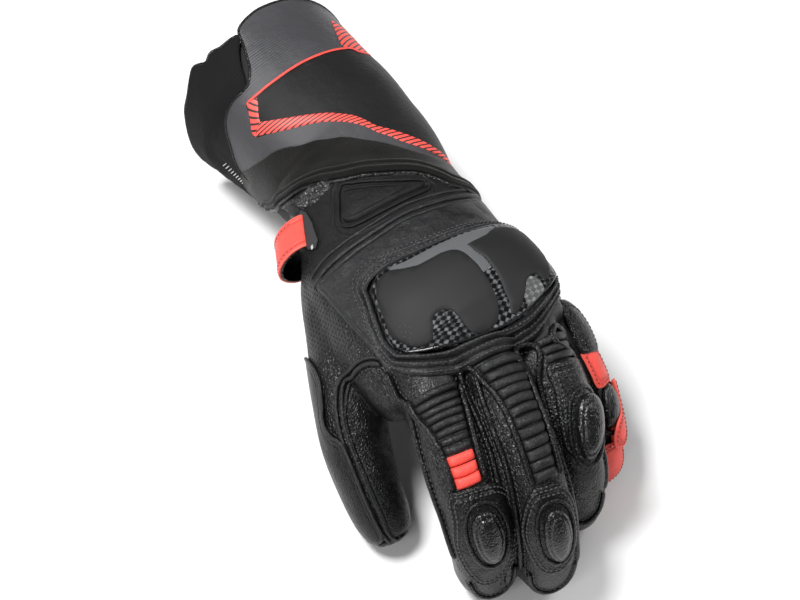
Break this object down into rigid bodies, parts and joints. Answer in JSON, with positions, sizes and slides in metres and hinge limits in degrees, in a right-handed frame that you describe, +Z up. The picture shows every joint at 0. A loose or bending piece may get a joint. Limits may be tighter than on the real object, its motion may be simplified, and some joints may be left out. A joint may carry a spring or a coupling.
{
  "type": "long-cuff leather motorcycle glove",
  "caption": "Left-hand long-cuff leather riding glove with a hard knuckle guard, folded stretch panels, padded finger sliders, wrist strap and printed gauntlet, lying palm down.",
  "frame": {"origin": "on the surface the glove lies on, under the middle of its bounding box", "axes": "+Y from the fingertips to the cuff's open mouth, +Z up out of the back of the hand, -X towards the thumb"},
  "size_m": [0.124, 0.2908, 0.0956],
  "materials": {
    "grain_leather": "soft black grained goatskin with a low sheen",
    "perforated_leather": "soft black grained leather with rows of small round perforations",
    "smooth_leather": "smooth black cowhide, semi-matt",
    "red_leather": "smooth neon-red leather, semi-matt",
    "suede": "black brushed suede with fine nap",
    "gauntlet_textile": "dark grey fine-ribbed coated textile with a black and neon-red print",
    "lining": "black knitted lining",
    "elastic": "gathered black elastic with a wet-looking sheen",
    "webbing": "dark grey tightly woven webbing",
    "carbon": "glossy clear-coated carbon twill",
    "matt_plastic": "matt dark grey moulded plastic"
  },
  "bodies": {
    "root": {"hand_shell": "perforated_leather", "finger_index": "grain_leather", "finger_middle": "grain_leather", "finger_ring": "grain_leather", "finger_little": "grain_leather", "thumb": "perforated_leather", "cuff_inner": "lining", "back_panel": "smooth_leather", "knuckle_guard": "carbon", "guard_plate_large": "matt_plastic", "guard_plate_small": "matt_plastic", "guard_rim": "smooth_leather", "wrist_pad": "smooth_leather", "wrist_gusset": "elastic", "strap_keeper": "webbing", "strap_tab": "red_leather", "wrist_strap": "smooth_leather", "cuff_band": "suede", "gauntlet_panel": "gauntlet_textile", "closure_flap": "grain_leather", "accordion_index": "smooth_leather", "accordion_index_red": "red_leather", "accordion_middle": "smooth_leather", "accordion_ring": "smooth_leather", "slider_base_index": "grain_leather", "slider_index": "grain_leather", "slider_base_middle": "grain_leather", "slider_middle": "grain_leather", "slider_base_ring": "grain_leather", "slider_ring": "grain_leather", "little_panel_red": "red_leather", "little_slider": "grain_leather", "little_tip_red": "red_leather", "thumb_panel_outer": "smooth_leather", "thumb_panel_inner": "smooth_leather", "palm_panel": "grain_leather"}
  },
  "joints": []
}
